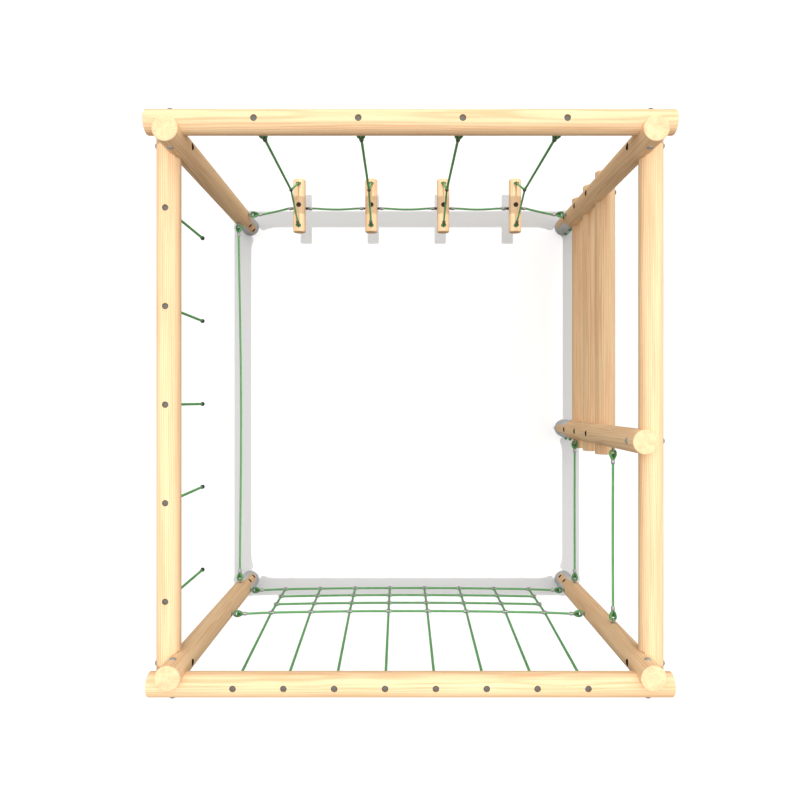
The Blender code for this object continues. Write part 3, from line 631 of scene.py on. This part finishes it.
# The tongue's outline, pushed right through the shoe; its lower end is a half round
def tongueShape(extra):
    half = shoeLook["tongue"] / 2 + extra
    centre = shoeLook["foot"] + shoeLook["tongue"] / 2
    outline = [(half, 0.33), (-half, 0.33)]
    outline += [(half * math.cos(a), centre + half * math.sin(a))
                for a in (math.pi * (1 + i / 16) for i in range(17))]
    shape = bmesh.new()
    near = [shape.verts.new((-0.12, y, z)) for y, z in outline]
    far = [shape.verts.new((0.12, y, z)) for y, z in outline]
    shape.faces.new(near)
    shape.faces.new(far[::-1])
    for i in range(len(outline)):
        j = (i + 1) % len(outline)
        shape.faces.new((near[j], near[i], far[i], far[j]))
    return finished(shape)


def makePosts():
    core = postRadius - shoeLook["wall"] - gap
    sleeve = lathe([(core, -0.02), (core, shoeLook["height"] + gap), (0.09, shoeLook["height"] + gap),
                    (0.09, -0.02), (core, -0.02)], 96)
    bmeshSleeve = bmesh.new()
    bmeshSleeve.from_mesh(sleeve)
    bmesh.ops.remove_doubles(bmeshSleeve, verts=bmeshSleeve.verts, dist=1e-6)
    sleeve = finished(bmeshSleeve)
    cheeks = carved(sleeve, [(tongueShape(0), still)])
    inner = postRadius - shoeLook["wall"]
    cup = lathe(rounded([(0, shoeLook["base"]), (inner, shoeLook["base"]), (inner, shoeLook["height"]),
                         (postRadius, shoeLook["height"]), (postRadius, 0), (0, 0)], 0.0012, 2), 96)
    shoe = carved(cup, [(tongueShape(gap), still)])
    head = lathe(rounded([(0, 0.006), (0.009, 0.0058), (0.013, 0.001), (0.013, -0.0025), (0, -0.0025)],
                         0.002, 3), 32)
    washer = lathe(rounded([(0, 0.0016), (0.0165, 0.0016), (0.0165, -0.002), (0, -0.002)], 0.0006, 2), 32)
    cap = lathe(rounded([(0, 0.022), (0.007, 0.0215), (0.0125, 0.013), (0.013, -0.002), (0, -0.002)],
                        0.003, 3), 32)
    shoeHeads = []
    greens = []
    for number, (name, spot) in enumerate(posts.items()):
        turn = Matrix.Rotation(math.radians(spot["tongue"]), 4, "Z")
        place = Matrix.Translation((spot["x"], spot["y"], 0)) @ turn
        foot = shoeLook["base"] + gap
        centre = Vector((spot["x"], spot["y"], (foot + spot["height"]) / 2))
        body = logShape(postRadius, spot["height"] - foot)
        body.transform(Matrix.Translation(centre))
        cuts = [(cheeks, place)] + postCuts[name]
        for height in shoeLook["bolts"]:
            for side in (1, -1):
                if spot["tongue"]:
                    way = (place.to_3x3() @ east) * side
                    origin = Vector((spot["x"], spot["y"], height)) + way * postRadius
                    cuts.append((screwPocket, facing(origin, way)))
                    postPockets[name].append((facing(origin, way), pocketLook["screw"], pocketLook["depth"]))
                else:
                    way = north * side
                    origin = Vector((spot["x"], spot["y"], height)) + way * postRadius
                    shoeHeads.append((washer, facing(origin, way)))
                    if side > 0:
                        shoeHeads.append((head, facing(origin, way)))
                    else:
                        greens.append((cap, facing(origin, way)))
        paint = woodPaint(f"timber_{name}", centre, up, 3.1 * number + 1)
        piece(f"{name}_post", carved(body, cuts), paint, nodes=[f"post_{name}"],
              pockets=postPockets[name])
        shoeMesh = shoe.copy()
        shoeMesh.transform(place)
        piece(f"{name}_shoe", shoeMesh, zinc, nodes=[f"shoe_{name}"])
    piece("shoe_bolt_heads", joined(shoeHeads), zinc)
    piece("shoe_nut_caps", joined(greens), greenCap)


def makeRails():
    postCutter = lathe([(0, 2.3), (postRadius + gap, 2.3), (postRadius + gap, 0), (0, 0)], 96)
    at = {name: Matrix.Translation((spot["x"], spot["y"], 0)) for name, spot in posts.items()}
    longRail = 2 * (postX + railOverhang)
    sideRail = northY - southY + 2 * railOverhang
    rails = {
        "north_rail": (Vector((0, northRailY, northRailZ)), east, longRail, ("north_west", "north_east")),
        "south_rail": (Vector((0, southRailY, southRailZ)), east, longRail, ("south_west", "south_east")),
        "west_rail": (Vector((-railX, centreY, sideRailZ)), north, sideRail, ("north_west", "south_west")),
        "east_rail": (Vector((railX, centreY, sideRailZ)), north, sideRail,
                      ("north_east", "south_east", "middle_east")),
    }
    logCentreY = (northY + middleY) / 2
    logLength = northY - middleY + 2 * logOverhang
    for i, height in enumerate(logHeights):
        rails[f"east_log_{i + 1}"] = (Vector((railX, logCentreY, height)), north, logLength,
                                      ("north_east", "middle_east"))
    for number, (name, (centre, way, length, through)) in enumerate(rails.items()):
        body = logShape(railRadius, length)
        body.transform(facing(centre, way))
        cuts = [(postCutter, at[post]) for post in through] + railCuts.get(name, [])
        paint = woodPaint(f"timber_{name}", centre, way, 5.7 * number + 20)
        piece(f"{name}_timber", carved(body, cuts), paint, nodes=[name])


# A cap let in a little way into a rail's top
def topCap(rail, x, y, height):
    crown = Vector((x, y, height + railRadius))
    railCuts[rail].append((capPocket, facing(crown, up)))
    caps.append((flatCap, Matrix.Translation(crown - up * 0.0118)))


stepX = [(i - 1.5) * 0.560 for i in range(4)]
ropeY = [(i - 2) * 0.5525 + centreY for i in range(5)]
netX = [(i - 3.5) * 0.275 for i in range(8)]
for x in stepX:
    topCap("north_rail", x, northRailY, northRailZ)
for x in netX:
    topCap("south_rail", x, southRailY, southRailZ)
for y in ropeY:
    topCap("west_rail", -railX, y, sideRailZ)
makePosts()
makeRails()
piece("bolt_caps", joined(caps), capGrey)
piece("bolt_heads", joined(heads), headGrey)
piece("bolt_nuts", joined(nuts), darkSteel)
print("timber, shoes and bolts")


# Rope ends: an eye in a ring, with a sheet of painted shade across it, and a ferrule

ringBar = 0.004
ringHole = 0.0085
endReach = 0.090      # from the pin in the ring to the ferrule's far face


# A loop in the XZ plane: round about the origin, drawn in to a point at +Z
def tearPoints(width, length, count=40):
    points = []
    for i in range(count):
        t = 2 * math.pi * (i + 0.5) / count - math.pi
        points.append((1.3 * width * math.sin(t) * math.cos(t / 2), 0, length / 2 * (1 - math.cos(t))))
    return points


# The rope's eye, clear of the ring that it hangs in: its strands painted darker than the rope as painted
# shade, and a flat sheet across its opening painted the darkest groove green as painted shade
def eyeShape(width, length, radius):
    # The eye's strands are painted darker than the rope as painted shade
    loop = twisted(tearPoints(width, length), radius, closed=True, pitch=radius * 6, shade=0.3)
    shape = bmesh.new()
    layer = shape.verts.layers.float.new("groove")
    # A flat sheet across the eye's opening, painted the darkest groove green as painted shade
    outline = [p for p in tearPoints(width - radius * 0.5, length - radius) if p[2] > radius * 2.1]
    near = [shape.verts.new((x, -radius * 0.5, z)) for x, _, z in outline]
    far = [shape.verts.new((x, radius * 0.5, z)) for x, _, z in outline]
    for vert in near + far:
        vert[layer] = 1
    shape.faces.new(near)
    shape.faces.new(far[::-1])
    for i in range(len(outline)):
        j = (i + 1) % len(outline)
        shape.faces.new((near[j], near[i], far[i], far[j]))
    return joined([(loop, still), (finished(shape), still)])


# A pressed oval ferrule that starts at the origin
def ferrule(length):
    return lathe(rounded([(0, length), (0.0085, length), (0.0125, length * 0.74), (0.0132, length * 0.5),
                          (0.0125, length * 0.26), (0.0095, 0), (0, 0)], 0.004, 3), 28)


ropeEye = eyeShape(0.0175, 0.061, ropeRadius)
ferruleLong = ferrule(0.032)
pressMark = torus(0.0129, 0.0008, 28, 6)
ringShape = torus(ringHole + ringBar, ringBar)


# Its parts' places: the eye, the ferrule, and the face from which the rope goes on
def ropeEnd(ringCentre, way, slack, eyeNormal):
    pin = ringCentre + way * (ringHole - slack - ropeRadius)
    end = pin + way * endReach
    return {"eye": framed(pin, way, eyeNormal), "ferrule": facing(end - way * 0.032, way), "end": end,
            "inside": end - way * 0.020}


def endMetal(end):
    parts = [(ferruleLong, end["ferrule"])]
    for z in (0.012, 0.020):
        parts.append((pressMark, end["ferrule"] @ Matrix.Translation((0, 0, z))))
    return parts


screwNeck = lathe(rounded([(0, 0.005), (0.006, 0.005), (0.006, -0.0005), (0, -0.0005)], 0.0008, 2), 24)
washerShape = lathe(rounded([(0, 0.0018), (0.014, 0.0018), (0.014, 0.0002), (0, 0.0002)], 0.0005, 2), 28)


# A rope end on an eye screw in a post's side: the end, and the parts of the screw
def postEnd(post, way, height):
    spot = posts[post]
    surface = Vector((spot["x"], spot["y"], height)) + way * postRadius
    ringCentre = surface + way * (ringHole + 2 * ringBar + gap)
    end = ropeEnd(ringCentre, way, -0.0015, up)
    screw = [(screwNeck, facing(surface, way)), (washerShape, facing(surface, way)),
             (ringShape, facing(ringCentre, up.cross(way)))]
    return end, screw


def sagPoints(start, end, sag, count):
    points = []
    for i in range(count + 1):
        t = i / count
        point = start.lerp(end, t)
        point.z -= sag * (4 * t * (1 - t)) ** 1.5
        points.append(point)
    return points


def makePostRopes():
    routes = {
        "west_low_rope": ("south_west", 0.380, "north_west", 0.420, 0.057),
        "east_low_rope": ("south_east", 0.386, "middle_east", 0.386, 0.004),
        "east_high_rope": ("south_east", 1.357, "middle_east", 1.357, 0.004),
    }
    for name, (south, southHeight, northPost, northHeight, sag) in routes.items():
        a, aScrew = postEnd(south, north, southHeight)
        b, bScrew = postEnd(northPost, -north, northHeight)
        points = [a["inside"], *sagPoints(a["end"], b["end"], sag, 12), b["inside"]]
        rope = [(twisted(points, ropeRadius), still), (ropeEye, a["eye"]), (ropeEye, b["eye"])]
        piece(f"{name}_strands", joined(rope), ropeGreen, nodes=[name])
        piece(f"{name}_ferrules", joined(endMetal(a) + endMetal(b)), silver)
        piece(f"{name}_screws", joined(aScrew + bScrew), headGrey)


makePostRopes()
print("ropes between the posts")


# Net

netLook = {"lowest": 0.275, "pitch": 0.2007, "sag": 0.036}


def netZ(row, x):
    return netLook["lowest"] + row * netLook["pitch"] + netLook["sag"] * (x / netX[-1]) ** 2


def netKnot(x, row):
    return Vector((x, southY, netZ(row, x)))


# A pressed cross connector: a round body and four short collars round the ropes
def makeConnector():
    body = lathe(rounded([(0, 0.0115), (0.009, 0.0115), (0.0160, 0.004), (0.0160, -0.004), (0.009, -0.0115),
                          (0, -0.0115)], 0.005, 4), 32)
    collar = lathe(rounded([(0.0080, 0.0185), (0.0100, 0.0185), (0.0120, 0.0150), (0.0120, 0.005),
                            (0.0080, 0.005)], 0.0012, 2), 24)
    parts = [(body, facing(Vector(), north))]
    parts += [(collar, facing(Vector(), way)) for way in (east, -east, up, -up)]
    dimple = lathe(rounded([(0, 0.0125), (0.004, 0.0125), (0.0055, 0.0105), (0, 0.0105)], 0.0008, 2), 20)
    parts += [(dimple, facing(Vector(), way)) for way in (north, -north)]
    return joined(parts)


def makeNet():
    ropes = []
    metal = []
    screws = []
    for row in range(4):
        points = [netKnot(x, row) for x in netX]
        if row in (0, 3):
            height = netZ(row, postX - postRadius)
            a, aScrew = postEnd("south_west", east, height)
            b, bScrew = postEnd("south_east", -east, height)
            points = [a["inside"], a["end"], *points, b["end"], b["inside"]]
            ropes += [(ropeEye, a["eye"]), (ropeEye, b["eye"])]
            metal += endMetal(a) + endMetal(b)
            screws += aScrew + bScrew
        ropes.append((twisted(points, ropeRadius), still))
    under = southRailZ - railRadius
    for x in netX:
        top = Vector((x, southRailY, under - gap))
        points = [netKnot(x, row) for row in range(4)]
        upper = points[-1]
        for t in (0.25, 0.5, 0.75):
            points.append(upper.lerp(top - up * 0.024, t))
        points.append(top - up * 0.024)
        ropes.append((twisted(points, ropeRadius), still))
        metal.append((ferrule(0.048), facing(top, -up)))
    piece("net_strands", joined(ropes), ropeGreen, nodes=["rope_net"])
    piece("net_ferrules", joined(metal), silver)
    piece("net_screws", joined(screws), headGrey)
    connector = makeConnector()
    piece("net_connectors", joined([(connector, Matrix.Translation(netKnot(x, row))) for x in netX
                                    for row in range(4)]), silver)


makeNet()
print("net")


# Eye bolts under the rails

# Its ring, shank and collar below the rail; returns the ring's centre
def eyeBolt(name, under, drop, ringNormal):
    reach = drop + ringHole + 2 * ringBar + gap
    neck = drop + 2 * ringBar
    shank = lathe(rounded([(0, 0.12), (0.006, 0.12), (0.006, -neck + ringBar), (0, -neck + ringBar)],
                          0.001, 2), 24)
    collar = lathe(rounded([(0, -0.0002), (0.014, -0.0002), (0.014, -0.0022), (0, -0.0022)],
                           0.0005, 2), 28)
    centre = under - up * reach
    parts = [(shank, Matrix.Translation(under)), (collar, Matrix.Translation(under)),
             (ringShape, facing(centre, ringNormal))]
    piece(f"{name}_steel", joined(parts), headGrey, nodes=[name])
    return centre


# Hanging steps

stepLook = {"z": 0.3905, "radius": 0.0475, "length": 0.409, "fork": 0.810, "leg": 0.170,
            "link": 0.3265, "reach": 0.0955}
legEye = eyeShape(0.0145, 0.036, 0.0062)
legFerrule = ferrule(0.028)
linkFerrule = ferrule(0.036)


def makeStep(number):
    x = stepX[number - 1]
    body = f"step_{number}"
    y = northRailY
    centre = Vector((x, y, stepLook["z"]))
    ringCentre = eyeBolt(f"north_eye_bolt_{number}", Vector((x, y, northRailZ - railRadius)), 0.090, east)
    top = ropeEnd(ringCentre, -up, gap, north)
    fork = Vector((x, y, stepLook["fork"]))
    crowns = [centre + north * side * stepLook["leg"] + up * stepLook["radius"] for side in (-1, 1)]

    cuts = [(hole(0.0190, 0.012), facing(centre + up * stepLook["radius"], up))]
    log = logShape(stepLook["radius"], stepLook["length"], 0.010, 72)
    log.transform(facing(centre, north))
    paint = woodPaint(f"timber_step_{number}", centre, north, 7.3 * number + 60)
    piece(f"step_{number}_timber", carved(log, cuts), paint, body, [f"step_log_{number}"])

    ropes = [(ropeEye, top["eye"]), (twisted([top["inside"], fork + up * 0.010], ropeRadius), still)]
    metal = endMetal(top)
    screws = []
    for crown in crowns:
        way = (fork - crown).normalized()
        pin = crown + up * gap + way * 0.0068
        start = pin + way * 0.036
        ropes += [(legEye, framed(pin, way, way.cross(east))),
                  (twisted([start, fork], 0.0072, pitch=0.050), still)]
        metal.append((legFerrule, facing(start, way)))
        screws.append((lathe(rounded([(0, 0.014), (0.0045, 0.014), (0.0065, 0.010), (0.0065, gap), (0, gap)],
                                     0.002, 3), 24), Matrix.Translation(crown)))
    piece(f"step_{number}_strands", joined(ropes), ropeGreen, body, [f"step_rope_{number}"])
    # These ferrules hang down and take the dark cap grey instead of silver, as painted shade
    piece(f"step_{number}_ferrules", joined(metal), capGrey, body)
    knot = lathe(rounded([(0, 0.0150), (0.007, 0.0150), (0.0125, 0.008), (0.0132, -0.002), (0.011, -0.011),
                          (0, -0.0145)], 0.004, 3), 32)
    screws.append((knot, Matrix.Translation(fork)))
    cover = lathe(rounded([(0, 0.0045), (0.0150, 0.0040), (0.0187, 0.0070), (0.0187, 0), (0, 0)],
                          0.0012, 3), 36)
    cover.transform(Matrix.Translation(centre + up * (stepLook["radius"] - 0.0118)))
    # The bolt cover in the step's hole takes the pockets' near-black paint, as painted shade in the hole
    piece(f"step_{number}_bolt_cover", cover, boreDark, body)
    piece(f"step_{number}_screws", joined(screws), darkSteel, body)

    under = centre - up * stepLook["radius"]
    crossing = Vector((x, y, stepLook["link"]))
    bolt = lathe([(0, 0.03), (0.006, 0.03), (0.006, -0.0165), (0, -0.0165)], 24)
    link = [(bolt, Matrix.Translation(under)),
            (torus(0.0125, 0.004), facing(crossing, east))]
    for way in (east, -east):
        link.append((linkFerrule, facing(crossing + way * stepLook["reach"], -way)))
    piece(f"step_{number}_link", joined(link), silver, body, [f"step_link_bolt_{number}"])
    stub = lathe(rounded([(0, 0.066), (0.006, 0.066), (0.010, 0.052), (0.010, -0.052), (0.006, -0.066),
                          (0, -0.066)], 0.004, 3), 24)
    piece(f"step_{number}_link_bar", joined([(stub, facing(crossing, east))]), darkSteel, body)


def makeSteps():
    for number in range(1, 5):
        makeStep(number)
    reach = stepLook["reach"] + gap
    y = northRailY

    def meeting(index, side):
        return Vector((stepX[index] + side * reach, y, stepLook["link"]))

    def ledIn(curve, start, end, way, sag):
        lead = way * 2 * ropeRadius
        return [start, *curve(start + lead, end - lead, sag, 10), end]

    for index in range(3):
        points = ledIn(sagPoints, meeting(index, 1), meeting(index + 1, -1), east, 0.030)
        piece(f"link_{index + 1}_strands", twisted(points, ropeRadius), ropeGreen, f"step_{index + 1}",
              [f"link_rope_{index + 1}"])
    for side, post, way, index in (("west", "north_west", east, 0), ("east", "north_east", -east, 3)):
        end, screw = postEnd(post, way, 0.395)
        piece(f"link_{side}_eye", joined([(ropeEye, end["eye"])]), ropeGreen)
        piece(f"link_{side}_ferrule", joined(endMetal(end)), silver, nodes=[f"link_eye_{side}"])
        piece(f"link_{side}_screw", joined(screw), headGrey)
        start = end["end"] + way * gap
        points = sagPoints(start, meeting(index, -way.x), 0.005, 10)
        rope = piece(f"link_{side}_strands", twisted(points, ropeRadius), ropeGreen,
                     nodes=[f"link_rope_{side}"])
        rope.parent = None
        del rope["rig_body"]
        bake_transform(rope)


makeSteps()
print("steps")


# Hanging ropes

hangLook = {"cap": 1.164, "capLength": 0.038, "steps": 18}


def makeHangingRopes():
    endCap = lathe(rounded([(0, 0), (0.0095, 0), (0.0115, -0.010), (0.0138, -0.026), (0.014, -0.033),
                            (0.010, -hangLook["capLength"]), (0, -hangLook["capLength"])], 0.003, 3), 36)
    for number, y in enumerate(ropeY, 1):
        body = f"rope_{number}"
        under = Vector((-railX, y, sideRailZ - railRadius))
        ringCentre = eyeBolt(f"west_eye_bolt_{number}", under, 0, north)
        end = ropeEnd(ringCentre, -up, gap, east)
        foot = Vector((-railX, y, hangLook["cap"] + hangLook["capLength"] + gap))
        steps = hangLook["steps"]
        path = [end["end"].lerp(foot, i / steps) for i in range(steps + 1)]
        rope = piece(f"rope_{number}_strands", twisted(path, ropeRadius), ropeGreen, body,
                     [f"hanging_rope_{number}"])
        eye = piece(f"rope_{number}_eye", joined([(ropeEye, end["eye"])]), ropeGreen, body)
        # The ferrules of the hanging ropes take the dark cap grey instead of silver, as painted shade
        metal = piece(f"rope_{number}_ferrule", joined(endMetal(end)), capGrey, body)
        cap = piece(f"rope_{number}_cap", joined([(endCap, Matrix.Translation(foot - up * gap))]),
                    blackCap, body, [f"rope_end_cap_{number}"])


makeHangingRopes()
print("hanging ropes")

scene.view_settings.view_transform = "Standard"
